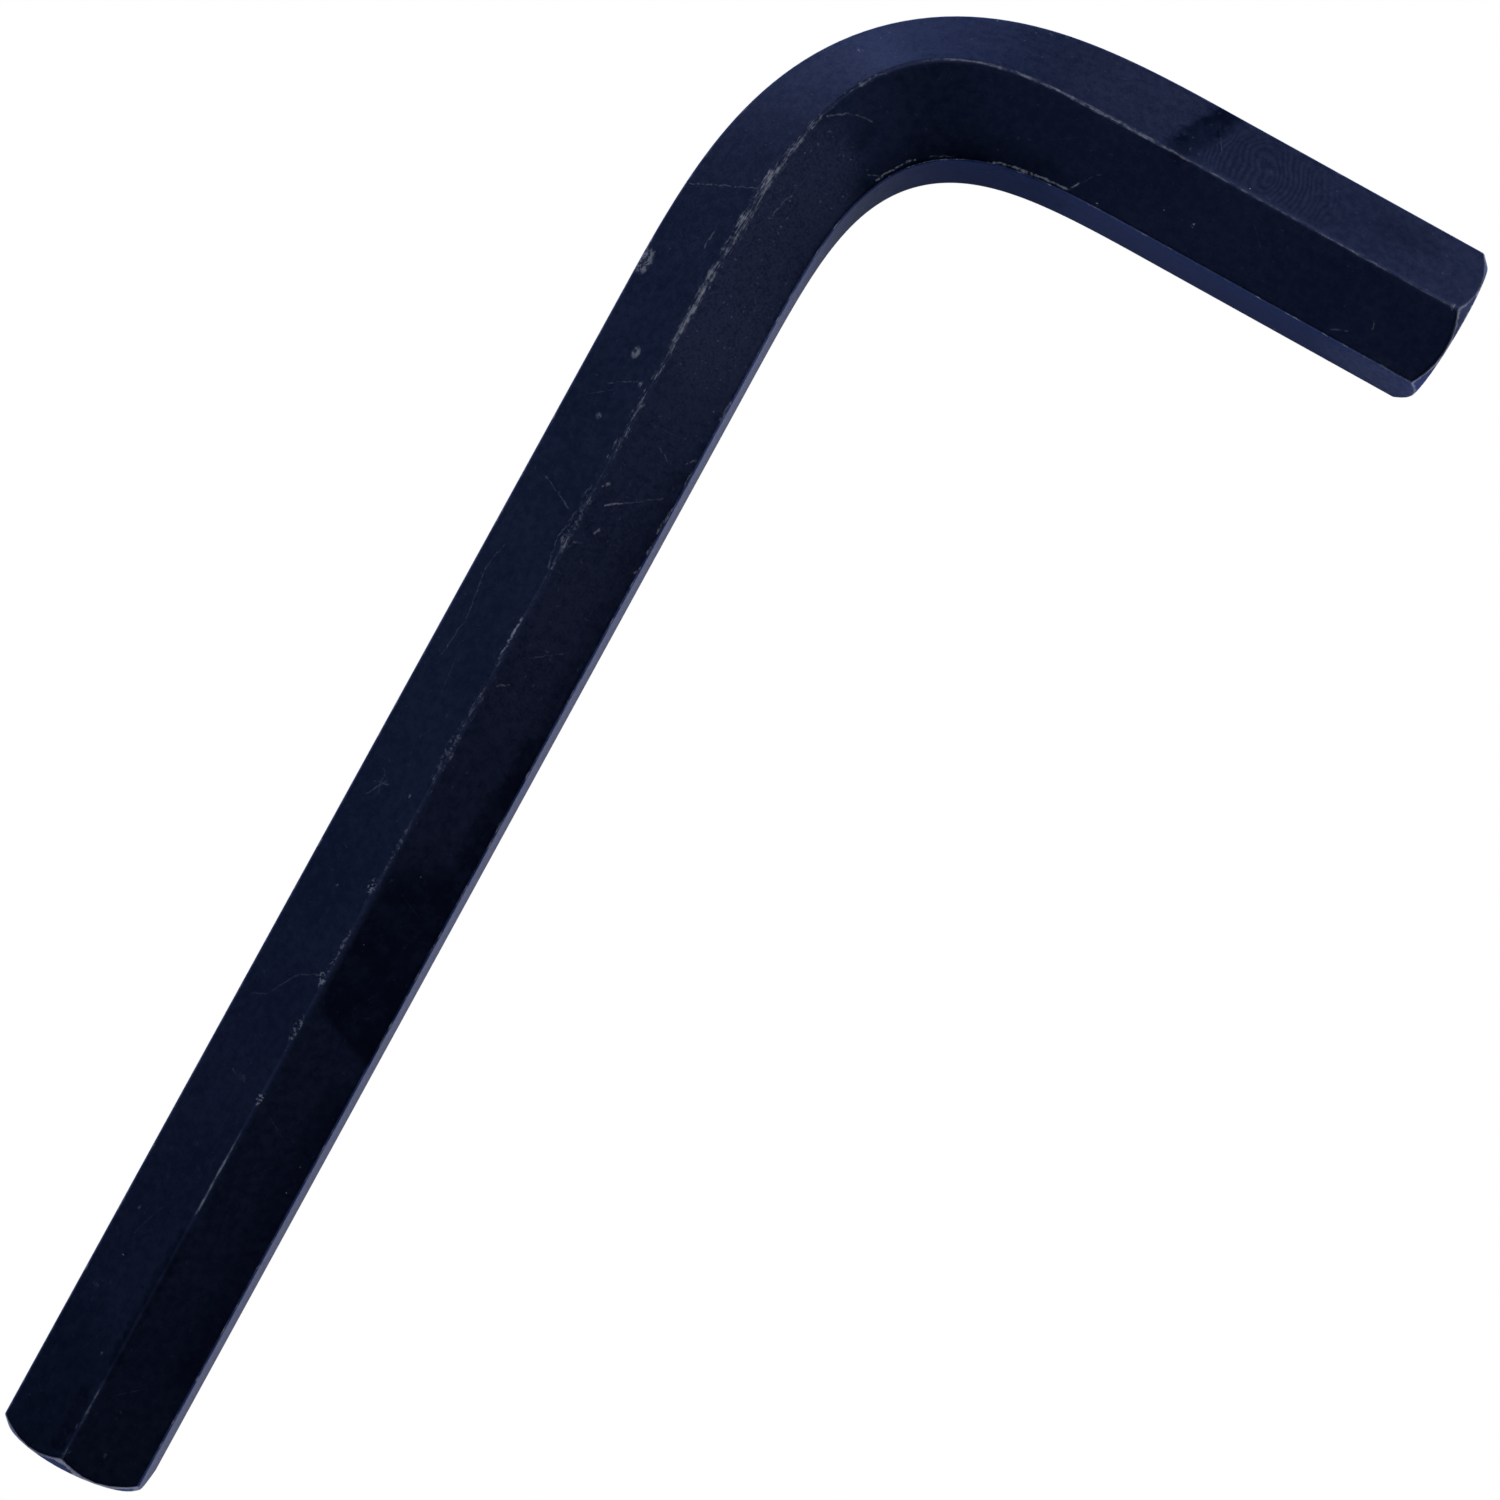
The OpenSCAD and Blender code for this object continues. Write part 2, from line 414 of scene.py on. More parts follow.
finish = {
    "length": barLength * mmPerMetre,
    "edgePitch": edgePitch * mmPerMetre,
    "oxide": (0.0165, 0.024, 0.063, 1),
    "thinOxide": (0.029, 0.0375, 0.087, 1),
    # oil, and the painted shade of some patches
    "oilyAndShadedOxide": (0.0055, 0.0085, 0.0245, 1),
    "oxideEdgeOn": (0.43, 0.47, 0.7, 1),       # what the oxide does to a mirrored colour edge on
    "bareAndGlint": (0.34, 0.35, 0.44, 1),
    "speck": (0.36, 0.38, 0.46, 1),
    "turned": (0.06, 0.068, 0.13, 1),
    "rubbed": (0.07, 0.078, 0.15, 1),
    "roughness": 0.3,
    "rougher": {"mottle": 0.16, "bareAndGlint": 0.2, "grease": 0.06},      # what each adds to it
    "relief": {"mottle": 0.007, "drawn": 0.0008, "scuffedAndGlinting": 0.01, "lathe": 0.004},     # scuffs lie low
    "speckDullness": 0.8,                       # how little of a speck is bare metal

    # noises: scale, detail, roughness
    "cloud": (0.09, 2.0, 0.55),
    "mottle": (1.4, 5.0, 0.65),
    "grain": (4.5, 2.0, 0.8),
    "drawn": (1.0, 2.0, 0.6),
    "shiver": (1.7, 3.0, 0.5),
    "smears": (0.5, 3.0, 0.62),
    "breaks": (2.6, 2.0, 0.7),
    "crumbling": (3.6, 2.0, 0.6),
    "fibres": (1.6, 4.0, 0.7),
    "gaps": (1.1, 3.0, 0.65),
    "nicks": (1.1, 5.0, 0.7),
    "lathe": (3.4, 3.0, 0.7),
    # how four of them are stretched: along the bar, round it, and apart from one another
    "drawnStretch": (0.25, 9.0, 0.0),
    "fibreStretch": (0.7, 5.0, 9.0),
    "gapStretch": (1.0, 0.6, 5.0),
    "nickStretch": (0.7, 2.0, 7.0),
    # how far the shiver moves marks, oil and specks
    "markShiver": (0.42, 0.42, 0),
    "oilShiver": (1.5, 1.5, 0),
    "speckShiver": (0.9, 0.9, 0.9),

    # how far each moves the oxide's tone between its two colours
    "toneShares": {"cloud": 0.25, "mottle": 0.46, "grain": 0.2, "drawn": 0.13, "wornGrain": 0.5},
    "toneWindow": (0.41, 0.63),
    "wornGrainMiddle": 0.4,
    "rubbedWindow": (0.26, 0.76),
    "rubbedStrength": 0.31,
    "smearWindow": (0.37, 0.6, 0.8, 1.32),
    "latheWindow": (0.36, 0.64, 0.3, 1.0),

    # how worn the top edge is along the bar, its thin line on the short arm partly a painted highlight:
    # place, cover, half width
    "edgeWearAndGlint": [
        (0, 0.5, 0.14), (1.5, 0.3, 0.3), (4.6, 0.24, 0.24), (5.2, 0.52, 0.08), (7.2, 0.5, 0.08),
        (7.8, 0.1, 0.08), (21.5, 0.08, 0.08),
        (22.5, 0.66, 0.09), (29, 0.62, 0.09), (30, 0.15, 0.14), (37, 0.24, 0.22), (44, 0.24, 0.18),
        (50.5, 0.32, 0.26), (56, 0.14, 0.16), (61, 0.36, 0.34), (68, 0.32, 0.3), (77, 0.22, 0.22),
        (82, 0.38, 0.44), (92, 0.38, 0.42), (99, 0.44, 0.26), (101.5, 0.72, 0.2), (105, 0.62, 0.3),
        (110, 0.52, 0.44), (116, 0.48, 0.4), (120.5, 0.5, 0.28), (123, 0.34, 0.24), (129.5, 0.3, 0.2),
        # from here to the short end the thin even line is partly wear, partly a painted highlight
        (131.5, 0.54, 0.1), (138, 0.55, 0.12), (147, 0.62, 0.16), (152, 0.5, 0.1), (177, 0.49, 0.1),
    ],
    "scuffUnrest": (0.08, 0.3, 0.42, 1.0),      # a window on half widths: a thin line is more even
    "scuffThinning": 0.16,                      # towards the sides of the scuffed line
    "fibreUnrest": 2.0,
    "gapUnrest": 1.5,
    "scuffWindow": (0.36, 1.0),
    "nickThinning": 0.6,                        # away from the edge
    "nickWindow": (0.5, 0.68),
    "strengths": {"scuffedAndGlinting": 0.95, "rimsAndGlints": 0.9, "nicked": 0.45, "dullAndLit": 0.8},

    # scratches: from, to, half width, strength
    "scratches": [
        (71.3, 0.15, 74.9, 0.1, 0.08, 0.95),
        (69.5, 5.2, 72.8, 4.8, 0.045, 0.22),
        (72.8, 4.8, 77.2, 5.5, 0.045, 0.2),
        (77.2, 5.5, 79.4, 5.0, 0.045, 0.2),
        (85.8, 4.9, 85.3, 3.6, 0.06, 0.3),
        (85.3, 3.6, 84.2, 1.2, 0.05, 0.22),
        (85.8, -1.5, 86.6, -2.7, 0.07, 0.6),
        (86.6, -2.7, 88.6, -5.6, 0.045, 0.22),
        (72.4, -2.1, 74.1, -4.5, 0.04, 0.18),
        (39.0, 5.6, 39.6, 4.2, 0.05, 0.12),
        (39.6, 4.2, 42.2, 2.4, 0.05, 0.16),
        (42.2, 2.4, 43.1, 0.4, 0.06, 0.2),
        (33.2, 3.6, 32.9, 1.9, 0.06, 0.14),
        (57.0, 5.1, 58.7, 3.9, 0.05, 0.2),
        (58.2, 5.0, 58.5, 3.6, 0.05, 0.2),
        (57.5, 4.1, 59.3, 4.6, 0.05, 0.16),
        (94.5, 3.8, 95.7, 0.8, 0.045, 0.26),
        (107.4, 1.9, 109.2, 1.85, 0.07, 0.26),
        (111.5, 6.5, 113.3, 0.6, 0.04, 0.26),
        (111.7, -1.8, 114.2, -2.1, 0.06, 0.2),
        (121.2, -0.3, 122.9, -1.3, 0.06, 0.36),
        (122.9, -1.3, 124.3, -2.7, 0.07, 0.26),
        (121.6, -6.55, 127.3, -6.5, 0.06, 0.75),
        (121.2, -5.8, 122.4, -6.5, 0.05, 0.4),
        (129.0, -6.6, 132.4, -6.7, 0.05, 0.3),
        (137.0, -6.7, 144.6, -6.55, 0.07, 1.4),
        (144.6, -6.55, 145.2, -5.7, 0.08, 1.0),
        (145.2, -5.7, 146.4, -4.3, 0.055, 0.14),
        (91.4, -4.3, 92.0, -3.0, 0.05, 0.18),
        (125.9, 4.1, 125.9, 4.5, 0.05, 0.4),
        (171.0, -4.0, 171.2, -4.6, 0.06, 0.35),
        (168.4, -6.2, 169.6, -5.7, 0.06, 0.3),
        (86.0, -6.6, 88.4, -6.75, 0.09, 0.5),
        (84.2, -6.7, 85.1, -6.65, 0.09, 0.5),
        (82.4, -6.6, 83.0, -6.75, 0.08, 0.4),
        (90.4, -6.7, 91.6, -6.65, 0.08, 0.45),
        (96.4, -6.6, 98.0, -6.75, 0.08, 0.4),
        (91.9, -5.9, 92.6, -6.5, 0.06, 0.3),
        (79.3, 0.25, 81.8, 0.75, 0.06, 0.26),
        (81.8, 0.75, 84.3, 0.45, 0.06, 0.24),
        (82.0, -0.7, 82.4, -1.3, 0.07, 0.4),
        (83.5, -1.85, 83.9, -2.0, 0.1, 0.5),
        (69.3, -0.8, 69.9, -1.7, 0.06, 0.3),
        (87.0, -0.5, 87.4, -0.9, 0.08, 0.5),
    ],
    "scratchSoftness": 0.7,
    "scratchWindow": (0.36, 0.62, 0.08, 1.15),
    # dull spots rubbed through the oil, and one patch of painted light: middle, radius along and round,
    # strength
    "dullAndLitSpots": [
        (97.6, 2.8, 0.55, 0.42, 0.85),
        (91.8, 3.0, 0.34, 0.3, 0.6),
        (104.6, 6.3, 1.2, 0.7, 0.95),
        (95.4, 0.95, 0.28, 0.25, 0.7),
        (58.6, 1.3, 0.16, 0.16, 0.6),
        (49.7, 3.3, 0.13, 0.13, 0.5),
        (33.1, 2.4, 0.3, 0.5, 0.16),
        (20.2, 5.1, 0.2, 0.14, 0.36),
        (13.4, 5.1, 0.14, 0.36, 0.3),
        (9.4, 1.5, 0.13, 0.13, 0.45),
        (2.4, -3.1, 0.2, 0.14, 0.45),
        (5.2, -0.75, 0.14, 0.16, 0.36),
        (12.9, -0.6, 0.12, 0.18, 0.3),
        (175.9, 0.1, 0.45, 0.4, 0.95),
        # painted light: lightens the inner flat towards the short end
        (174.5, -10.3, 7.0, 4.0, 0.18),
    ],
    "dullWindow": (0.43, 0.58, 0.12, 1.0),
    # patches of fine crumbs beside the top edge: middle, radius along and round, strength
    "crumbs": [
        (43.0, 0.25, 0.8, 0.45, 0.7),
        (32.5, -0.1, 0.7, 0.3, 0.75),
        (51.0, 0.35, 0.7, 0.42, 0.75),
        (38.6, 0.12, 1.2, 0.34, 0.55),
        (45.6, 0.1, 2.2, 0.2, 0.36),
        (54.6, 0.0, 2.4, 0.22, 0.26),
        (63.4, 0.1, 2.4, 0.45, 0.3),
        (83.4, 0.05, 1.9, 0.5, 0.2),
    ],
    "crumbWindow": (0.51, 0.6),

    # patches that mirror less, some of oil and some painted shade: from, to, half width, softness of
    # its side, strength
    "oilAndShadePatches": [
        (150.9, 0.7, 153.3, 6.9, 1.1, 0.55, 0.85),
        (0.0, 3.6, 7.0, 3.6, 3.2, 0.9, 0.3),
        # painted shade: darkens the mirrored highlight on the long arm's top edge
        (8.0, 0.0, 20.5, 0.0, 0.5, 0.9, 0.55),
        (10.0, -6.6, 34.0, -6.6, 2.0, 0.5, 0.34),
        (42.0, -6.9, 66.0, -6.9, 1.8, 0.4, 0.62),
        (66.0, -6.9, 90.0, -6.9, 1.6, 0.6, 0.3),
        (1.8, 1.0, 6.0, 1.0, 0.8, 0.8, 0.6),
        (121.8, -3.7, 124.2, -2.9, 0.7, 0.8, 0.3),
        (168.6, 4.3, 171.6, 4.7, 1.1, 0.8, 0.32),
        # painted shade: the bend's inner flat mirrors the shadowed bench top in the crook
        (121.0, -10.3, 141.0, -10.3, 4.2, 0.6, 0.95),
        # painted shade: dims the mirrored sheen on the bend's outer face
        (131.5, 4.2, 139.0, 4.2, 3.2, 0.8, 0.16),
    ],
    # the oily band across the inner face: its crisp side, its soft side, and two windows round the bar
    "oilyBand": {
        "crispAt": 41.0,
        "crispSlant": 0.42,
        "crispFade": 0.4,
        "crispShiver": 0.3,
        "softAt": 55.0,
        "softSlant": 0.6,
        "softFade": 5.5,
        "belowTop": (-0.3, -0.8),
        "aboveBottom": (-9.5, -7.0),
        "strength": 0.64,
    },
    # worn patches, pale with many small scuffs: from, to, half width, softness, strength
    "wornPatches": [
        (100.0, -3.2, 118.5, -3.2, 3.2, 0.4, 1.0),
        (69.0, -3.0, 98.0, -3.4, 2.6, 0.6, 0.4),
        (108.0, 4.0, 150.0, 3.6, 3.0, 0.6, 0.2),
    ],
    "fingerMark": {
        "middle": (157.6, 2.6),
        "reach": (8.0, 4.6),
        "ridgeSpacing": 0.46,
        "ridgeWindow": (-0.9, 0.9),
        "whorl": (1, 0.5, 0),           # its loops are twice as long round the bar as along it
        "wobble": (0.28, 1.0, 0.5),
        "wobbleShiver": (2.4, 2.4, 0),
        "ridgeShiver": (0.3, 0.3, 0),
        "offTop": (0.3, 0.9),           # a window beside the top edge
        "strength": 0.42,
    },

    # chance hairlines, one in each cell of a loose grid
    "hairlines": {
        "cell": 6.0,
        "shift": 2.0,                   # of the grid
        "half": 0.04,                   # half width
        "core": 0.3,                    # full within this share of its half width
        "ends": (0.34, 0.1),            # where it ends and where it is full, in shares of the cell
        "turn": 9.0,                    # in radians, at most
        "kept": (0.6, 1.0),             # a window on chance
        "strength": 0.16,
    },
    # chance specks: cells in a mm, the biggest radius, rarity, softness
    "smallSpecks": (2.9, 0.1, 0.86, 0.012),
    "bigSpecks": (0.8, 0.085, 0.82, 0.012),
    "wornSpecks": 0.3,                  # how many more small ones there are on a worn patch
    "bigSpeckStrength": 0.5,
    "smallSpeckStrength": 0.06,
    "wornSpeckStrength": 0.1,
    # worn rims of the turned ends, the long arm's and the inner side's most; that extra is partly a
    # painted highlight
    "rimsAndGlints": {
        "noise": (1.7, 4.0, 0.65),
        "alongWindow": (100.0, 60.0, 0.3, 1.0),
        "aroundWindow": (1.5, 0.0, 0.25, 1.0),
        "edgeReach": 0.5,
        "moreReach": 0.42,
        "edgeWindow": (0.12, 0.22),
        "edgeCover": 0.4,
        "moreCover": 0.6,
        "faceReach": 0.5,
        "faceWindow": (0.17, 0.24),
        "faceCover": 0.7,
    },
}


def stretched(desk, x, y, z, stretch):
    return desk.vectors("MULTIPLY", desk.vector(x, y, z), Vector(stretch))


def shaken(desk, place, shiver, reach):
    return desk.vectors("ADD", place, desk.vectors("MULTIPLY", shiver, Vector(reach)))


def strongest(desk, masks):
    top = masks[0]
    for mask in masks[1:]:
        top = desk.maths("MAXIMUM", top, mask)
    return top


def markNear(desk, place, mark):
    # Full strength on a straight mark, and none past the soft side of its half width
    fromX, fromY, toX, toY, half, soft, strength = mark
    start = Vector((fromX, fromY, 0))
    reach = Vector((toX - fromX, toY - fromY, 0))
    offset = desk.vectors("SUBTRACT", place, start)
    share = desk.vectors("DOT_PRODUCT", offset, reach / reach.length_squared, output="Value")
    share = desk.node("ShaderNodeClamp", None, {0: share})
    nearest = desk.node("ShaderNodeVectorMath", {"operation": "SCALE"}, {0: reach, "Scale": share})
    gap = desk.vectors("LENGTH", desk.vectors("SUBTRACT", offset, nearest), output="Value")
    return desk.rise(gap, half * (1 + soft), half * (1 - soft), 0.0, strength)


def marksNear(desk, place, marks):
    return [markNear(desk, place, mark) for mark in marks]


def spotsNear(desk, place, spots):
    near = []
    for x, y, reachX, reachY, strength in spots:
        offset = desk.vectors("SUBTRACT", place, Vector((x, y, 0)))
        gap = desk.vectors("MULTIPLY", offset, Vector((1 / reachX, 1 / reachY, 0)))
        gap = desk.vectors("LENGTH", gap, output="Value")
        near.append(desk.rise(gap, *spotFade, 0.0, strength))
    return strongest(desk, near)


def edgeScuffsAndGlint(desk, size, along, around):
    # Pale metal where the top edge has rubbed, broken up by fibres that run along it; on the short arm
    # its thin line is partly a painted highlight
    stops = [(place / size["length"], (cover, half, 0, 1)) for place, cover, half in size["edgeWearAndGlint"]]
    wear = desk.node("ShaderNodeValToRGB", {"stops": stops}, {0: along / size["length"]})
    cover = desk.node("ShaderNodeSeparateColor", None, {0: wear}, "Red")
    half = cover.other("Green")
    off = desk.maths("ABSOLUTE", around) / half
    fibres = desk.noise(stretched(desk, along, around, 1.0, size["fibreStretch"]), size["fibres"])
    gaps = desk.noise(stretched(desk, along, around, 1.0, size["gapStretch"]), size["gaps"])
    unrest = (fibres - 0.5) * size["fibreUnrest"] + (gaps - 0.5) * size["gapUnrest"]
    unrest = desk.rise(half, *size["scuffUnrest"]) * unrest
    frayed = cover - off * off * size["scuffThinning"] + unrest
    return desk.rise(frayed, *size["scuffWindow"])


def otherEdgeNicks(desk, size, along, around):
    # Light wear and small nicks on the five other long edges
    nearest = desk.maths("ROUND", around / size["edgePitch"])
    off = desk.maths("ABSOLUTE", around - nearest * size["edgePitch"])
    notTop = desk.maths("MINIMUM", desk.maths("ABSOLUTE", nearest), 1.0)
    nicks = desk.noise(stretched(desk, along, around, nearest, size["nickStretch"]), size["nicks"])
    return notTop * desk.rise(nicks - off * size["nickThinning"], *size["nickWindow"])


def oilyBand(desk, band, along, around, oilPlace):
    oilAlong, oilAround, _ = desk.split(oilPlace)
    crisp = along - around * band["crispSlant"] + band["crispShiver"] * (oilAlong - along)
    first = band["crispAt"] - band["crispFade"]
    full = band["crispAt"] + band["crispFade"]
    oil = desk.rise(crisp, first, full, 0.0, band["strength"])
    soft = oilAlong + band["softSlant"] * oilAround
    oil = oil * desk.rise(soft, band["softAt"], band["softAt"] - band["softFade"])
    return oil * desk.rise(around, *band["belowTop"]) * desk.rise(around, *band["aboveBottom"])


def fingerMark(desk, mark, place, around, shiver):
    # Grease ridges of a made-up whorl: 1 on a ridge, and how much of the mark there is
    offset = desk.vectors("SUBTRACT", place, Vector((*mark["middle"], 0)))
    wobble = desk.shiver(place, mark["wobble"])
    bent = shaken(desk, offset, wobble, mark["wobbleShiver"])
    bent = shaken(desk, bent, shiver, mark["ridgeShiver"])
    loops = desk.vectors("MULTIPLY", bent, Vector(mark["whorl"]))
    loops = desk.vectors("LENGTH", loops, output="Value") * (2 * math.pi / mark["ridgeSpacing"])
    ridges = desk.rise(desk.maths("SINE", loops), *mark["ridgeWindow"])
    reachX, reachY = mark["reach"]
    edge = desk.vectors("MULTIPLY", offset, Vector((1 / reachX, 1 / reachY, 0)))
    edge = desk.vectors("LENGTH", desk.vectors("ADD", edge, shiver), output="Value")
    there = desk.rise(edge, *spotFade) * desk.rise(around, *mark["offTop"])
    return ridges, there


def hairlines(desk, hair, place):
    # One faint hairline in each cell, each at its own angle
    moved = desk.vectors("ADD", place, Vector((hair["shift"], hair["shift"], 0)))
    sockets = {"Vector": moved, "Scale": 1 / hair["cell"]}
    cells = desk.node("ShaderNodeTexVoronoi", {"voronoi_dimensions": "2D"}, sockets, "Position")
    chance = desk.node("ShaderNodeSeparateColor", None, {0: cells.other("Color")}, "Red")
    x, y, _ = desk.split(desk.vectors("SUBTRACT", moved, cells))
    sine = desk.maths("SINE", chance * hair["turn"])
    cosine = desk.maths("COSINE", chance * hair["turn"])
    across = desk.maths("ABSOLUTE", x * sine - y * cosine)
    run = desk.maths("ABSOLUTE", x * cosine + y * sine)
    thin = desk.rise(across, hair["half"], hair["half"] * hair["core"])
    ended, full = [hair["cell"] * share for share in hair["ends"]]
    kept = desk.rise(chance.other("Green"), *hair["kept"])
    return thin * desk.rise(run, ended, full) * kept


def specks(desk, spot, kind, more=0.0):
    perMm, biggest, rarity, softness = kind
    rarity = rarity - more
    cells = desk.node("ShaderNodeTexVoronoi", None, {"Vector": spot, "Scale": perMm}, "Distance")
    chance = desk.node("ShaderNodeSeparateColor", None, {0: cells.other("Color")}, "Red")
    reach = (chance - rarity) * (biggest * perMm / (1 - rarity))
    return desk.rise(reach - cells, 0.0, softness * perMm)


def wornAndGlintingRims(desk, rimsAndGlints, spot, along, around, edgeGap, rimGap):
    # Pale metal along the chamfer's outer edge, and less along the rim of the face; the extra on the
    # long arm's end is partly a painted highlight
    noise = desk.noise(spot, rimsAndGlints["noise"])
    more = desk.rise(along, *rimsAndGlints["alongWindow"]) * desk.rise(around, *rimsAndGlints["aroundWindow"])
    reach = noise * (rimsAndGlints["edgeReach"] + more * rimsAndGlints["moreReach"])
    edge = desk.rise(reach - desk.maths("ABSOLUTE", edgeGap), *rimsAndGlints["edgeWindow"])
    edge = edge * (rimsAndGlints["edgeCover"] + more * rimsAndGlints["moreCover"])
    reach = noise * rimsAndGlints["faceReach"]
    face = desk.rise(reach - desk.maths("ABSOLUTE", rimGap), *rimsAndGlints["faceWindow"])
    return edge + face * rimsAndGlints["faceCover"]


def blackenedSteel(size):
    material = bpy.data.materials.new("blackenedSteel")
    material.use_nodes = True
    material.node_tree.nodes.clear()
    desk = Desk(material.node_tree)

    barPlace = desk.node("ShaderNodeAttribute", {"attribute_name": "barPlace"}, output="Vector")
    along, around, outwards = desk.split(barPlace)
    endPlace = desk.node("ShaderNodeAttribute", {"attribute_name": "endPlace"}, output="Vector")
    turnedPart, edgeGap, rimGap = desk.split(endPlace)
    onBar = 1 - turnedPart                      # none of the bar's marks runs on over its ends
    spot = desk.node("ShaderNodeTexCoord", output="Object")
    spot = desk.vectors("MULTIPLY", spot, Vector((mmPerMetre, mmPerMetre, mmPerMetre)))
    place = desk.vector(along, around, 0.0)
    shiver = desk.shiver(spot, size["shiver"])
    markPlace = shaken(desk, place, shiver, size["markShiver"])
    oilPlace = shaken(desk, place, shiver, size["oilShiver"])
    speckPlace = shaken(desk, spot, shiver, size["speckShiver"])

    # Oxide: cloudy on the scale of a finger, mottled finely, with the faint lines of drawing
    cloud = desk.noise(spot, size["cloud"])
    mottle = desk.noise(spot, size["mottle"])
    grain = desk.noise(spot, size["grain"])
    drawn = desk.noise(stretched(desk, along, around, 1.0, size["drawnStretch"]), size["drawn"])
    worn = strongest(desk, marksNear(desk, oilPlace, size["wornPatches"]))
    shares = size["toneShares"]
    tone = cloud * shares["cloud"] + mottle * shares["mottle"]
    tone = tone + grain * shares["grain"] + drawn * shares["drawn"]
    tone = tone + worn * (grain - size["wornGrainMiddle"]) * shares["wornGrain"]
    colour = desk.blend(desk.rise(tone, *size["toneWindow"]), size["oxide"], size["thinOxide"])
    rubbed = worn * desk.rise(grain, *size["rubbedWindow"]) * size["rubbedStrength"]
    colour = desk.blend(rubbed, colour, size["rubbed"])

    # Oily patches, some of them painted shade, and a finger mark on the short arm
    band = oilyBand(desk, size["oilyBand"], along, around, oilPlace)
    oilAndShade = strongest(desk, marksNear(desk, oilPlace, size["oilAndShadePatches"]) + [band])
    smears = desk.noise(desk.vectors("ADD", spot, shiver), size["smears"])
    oilAndShade = oilAndShade * onBar * desk.rise(smears, *size["smearWindow"])
    colour = desk.blend(oilAndShade, colour, size["oilyAndShadedOxide"])
    ridges, there = fingerMark(desk, size["fingerMark"], place, around, shiver)
    grease = there * (1 - oilAndShade) * ridges
    colour = desk.blend(grease * size["fingerMark"]["strength"], colour, size["oilyAndShadedOxide"])

    # Wear, in parts painted light: scuffed edges, placed scratches, chance hairlines, dull spots,
    # crumbs and specks
    scuffedAndGlinting = edgeScuffsAndGlint(desk, size, along, around) * onBar
    nicked = otherEdgeNicks(desk, size, along, around)
    breaks = desk.noise(spot, size["breaks"])
    broken = desk.rise(breaks, *size["scratchWindow"])
    soft = size["scratchSoftness"]
    scratches = [(*ends, half, soft, strength) for *ends, half, strength in size["scratches"]]
    scratched = strongest(desk, marksNear(desk, markPlace, scratches)) * broken
    hair = hairlines(desk, size["hairlines"], place) * broken * size["hairlines"]["strength"]
    dullAndLit = spotsNear(desk, markPlace, size["dullAndLitSpots"]) * desk.rise(breaks, *size["dullWindow"])
    crumbling = desk.rise(desk.noise(spot, size["crumbling"]), *size["crumbWindow"])
    crumbs = spotsNear(desk, markPlace, size["crumbs"]) * crumbling
    small = specks(desk, speckPlace, size["smallSpecks"], worn * size["wornSpecks"])
    small = small * (size["smallSpeckStrength"] + worn * size["wornSpeckStrength"])
    dust = specks(desk, speckPlace, size["bigSpecks"]) * size["bigSpeckStrength"] + small

    # Turned ends: lathe rings, and worn rims, the long arm's partly a painted highlight
    lathe = desk.noise(desk.vector(outwards, 0.0, 0.0), size["lathe"])
    latheRings = turnedPart * desk.rise(lathe, *size["latheWindow"])
    colour = desk.blend(latheRings, colour, size["turned"])
    rimsAndGlints = turnedPart * wornAndGlintingRims(desk, size["rimsAndGlints"], spot, along, around, edgeGap, rimGap)

    strengths = size["strengths"]
    nicked = nicked * strengths["nicked"]
    dullAndLit = dullAndLit * strengths["dullAndLit"]
    barWearAndLight = strongest(desk, [nicked, scratched, hair, dullAndLit, crumbs]) * onBar
    bareAndGlint = strongest(desk, [scuffedAndGlinting * strengths["scuffedAndGlinting"], rimsAndGlints * strengths["rimsAndGlints"], barWearAndLight])
    # pale metal: wear, and in parts a painted highlight
    colour = desk.blend(bareAndGlint, colour, size["bareAndGlint"])
    colour = desk.blend(dust, colour, size["speck"])

    rougher = size["rougher"]
    roughness = size["roughness"] + (mottle - 0.5) * rougher["mottle"] + bareAndGlint * rougher["bareAndGlint"]
    roughness = roughness + grease * rougher["grease"]
    relief = size["relief"]
    height = mottle * relief["mottle"] + drawn * relief["drawn"] - scuffedAndGlinting * relief["scuffedAndGlinting"]
    height = height + turnedPart * lathe * relief["lathe"]
    sockets = {"Strength": 1.0, "Distance": 1 / mmPerMetre, "Height": height}
    bump = desk.node("ShaderNodeBump", None, sockets)
    sockets = {
        "Base Color": colour,
        "Metallic": 1 - dust * size["speckDullness"],
        "Roughness": roughness,
        "Specular Tint": size["oxideEdgeOn"],
        "Normal": bump,
    }
    steel = desk.node("ShaderNodeBsdfPrincipled", None, sockets)
    desk.node("ShaderNodeOutputMaterial", None, {"Surface": steel})
    return material


steel = blackenedSteel(finish)
print("steel made:", len(steel.node_tree.nodes), "nodes")
key = makeKey(keyForm, steel)
print("key made:", len(key.data.vertices), "points,", len(key.data.polygons), "faces")


# Bench top, light and camera

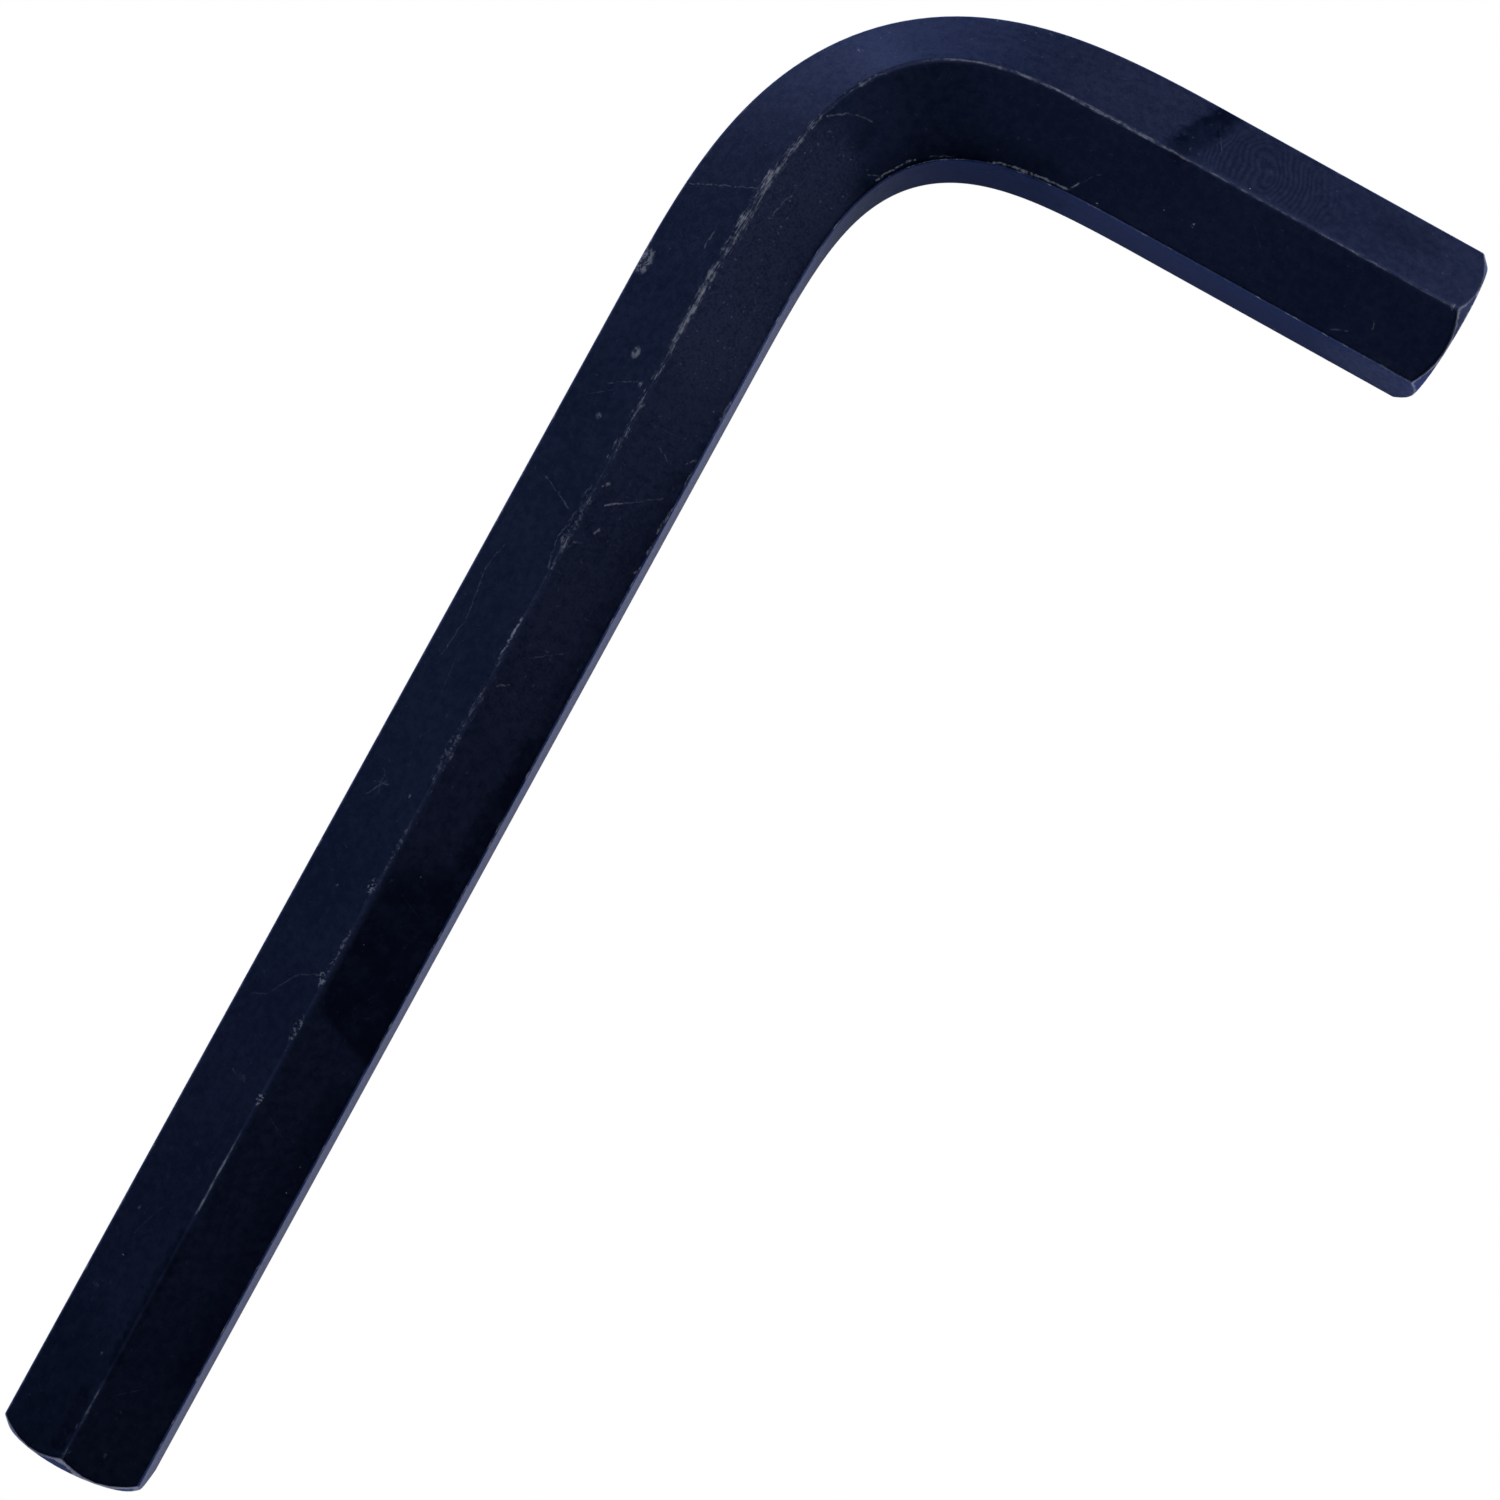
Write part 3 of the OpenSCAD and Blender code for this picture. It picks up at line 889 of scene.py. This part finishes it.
studio = {
    "floorRadius": 1.5,
    "floorSteps": 96,
    "floorColour": (0.8, 0.8, 0.8, 1),
    "floorSeen": 1.0,               # how white the camera sees the bench top, with no shadow
    "floorGlow": 0.25,              # how much of that even white the steel mirrors
    "backdrop": (0.98, 0.98, 0.985, 1),
    "cameraPlace": (0.00095, -0.002286, 0.242356),
    "cameraTurn": (2.2621, 0.0047, 28.566),
    "sensorMm": 36,
    "lensMm": 70.615,
    "clipFrom": 0.01,
    "clipTo": 20,
    # direction in the picture, anticlockwise from its right side, and height, both in degrees
    "keyLightFrom": (78, 55),
    "keyLightDistance": 0.6,
    "keyLightWidth": 0.3,
    "keyLightPower": 4.0,
    # what the steel mirrors round the room: direction, height, spread in degrees, strength
    "roomGlows": [
        (134, 27, 42, 0.24),        # soft, from the upper left
        (25, 43, 55, 1.11),         # the broad main light, from the right
        (217, 52, 38, 0.24),        # soft, from the lower left
        (-22, 30, 17, -0.57),       # a dark gap at the lower right
        (99, 7, 42, 0.68),          # low, from beyond the bend
        (11, 60, 30, -0.8),         # a dark gap high on the right
        (102, 6, 8, 0.92),          # the narrow highlight on the bend
        (95, 80, 40, 0.26),         # overhead
    ],
    "roomDim": 0.05,
    "roomDarkest": 0.05 / 3,        # what is left in the dark gaps
    "roomTint": (0.1, 0.6),         # how bright it is where it has the first colour, and the second
    "dimColour": (0.8, 1.0, 1.2, 1),
    "glowColour": (1.0, 1.0, 1.0, 1),
}


def towards(size, direction, height):
    turn = math.radians(direction + size["cameraTurn"][2])
    rise = math.radians(height)
    return Vector((math.cos(turn) * math.cos(rise), math.sin(turn) * math.cos(rise), math.sin(rise)))


def makeFloor(size):
    steps = size["floorSteps"]
    radius = size["floorRadius"]
    turns = [2 * math.pi * i / steps for i in range(steps)]
    points = [(0, 0, 0)] + [(radius * math.cos(turn), radius * math.sin(turn), 0) for turn in turns]
    faces = [(0, i + 1, (i + 1) % steps + 1) for i in range(steps)]
    mesh = bpy.data.meshes.new("benchTop")
    mesh.from_pydata(points, [], faces)
    floor = bpy.data.objects.new("benchTop", mesh)
    bpy.context.scene.collection.objects.link(floor)
    material = bpy.data.materials.new("paleTop")
    material.use_nodes = True
    material.node_tree.nodes.clear()
    desk = Desk(material.node_tree)
    lit = desk.node("ShaderNodeBsdfDiffuse", None, {"Color": size["floorColour"]})
    white = desk.node("ShaderNodeEmission", None, {"Strength": size["floorSeen"]})
    seen = desk.node("ShaderNodeLightPath", output="Is Camera Ray")
    evenly = size["floorGlow"] + seen * (1 - size["floorGlow"])
    top = desk.node("ShaderNodeMixShader", None, {0: evenly, 1: lit, 2: white})
    desk.node("ShaderNodeOutputMaterial", None, {"Surface": top})
    mesh.materials.append(material)


def makeLight(size):
    data = bpy.data.lights.new("keyLight", "AREA")
    data.shape = "DISK"
    data.size = size["keyLightWidth"]
    data.energy = size["keyLightPower"]
    light = bpy.data.objects.new("keyLight", data)
    light.visible_glossy = False                # the steel mirrors the room alone
    bpy.context.scene.collection.objects.link(light)
    away = towards(size, *size["keyLightFrom"])
    light.location = away * size["keyLightDistance"]
    light.rotation_euler = away.to_track_quat("Z", "Y").to_euler()


def makeRoom(size):
    world = bpy.data.worlds.new("room")
    bpy.context.scene.world = world
    world.use_nodes = True
    world.node_tree.nodes.clear()
    desk = Desk(world.node_tree)
    looking = desk.node("ShaderNodeTexCoord", output="Generated")
    glow = size["roomDim"]
    for direction, height, spread, strength in size["roomGlows"]:
        near = desk.vectors("DOT_PRODUCT", looking, towards(size, direction, height), output="Value")
        glow = glow + desk.rise(near, math.cos(math.radians(spread)), 1.0) * strength
    glow = desk.maths("MAXIMUM", glow, size["roomDarkest"])
    colour = desk.blend(desk.rise(glow, *size["roomTint"]), size["dimColour"], size["glowColour"])
    mirrored = desk.node("ShaderNodeBackground", None, {"Color": colour, "Strength": glow})
    backdrop = desk.node("ShaderNodeBackground", None, {"Color": size["backdrop"]})
    seen = desk.node("ShaderNodeLightPath", output="Is Camera Ray")
    both = desk.node("ShaderNodeMixShader", None, {0: seen, 1: mirrored, 2: backdrop})
    desk.node("ShaderNodeOutputWorld", None, {"Surface": both})


def makeCamera(size):
    data = bpy.data.cameras.new("overKey")
    data.sensor_width = size["sensorMm"]
    data.lens = size["lensMm"]
    data.clip_start = size["clipFrom"]
    data.clip_end = size["clipTo"]
    camera = bpy.data.objects.new("overKey", data)
    bpy.context.scene.collection.objects.link(camera)
    camera.location = size["cameraPlace"]
    camera.rotation_euler = [math.radians(angle) for angle in size["cameraTurn"]]
    bpy.context.scene.camera = camera
    bpy.context.scene.view_settings.view_transform = "Standard"


makeFloor(studio)
makeLight(studio)
makeRoom(studio)
makeCamera(studio)
print("studio set")

bpy.context.view_layer.update()
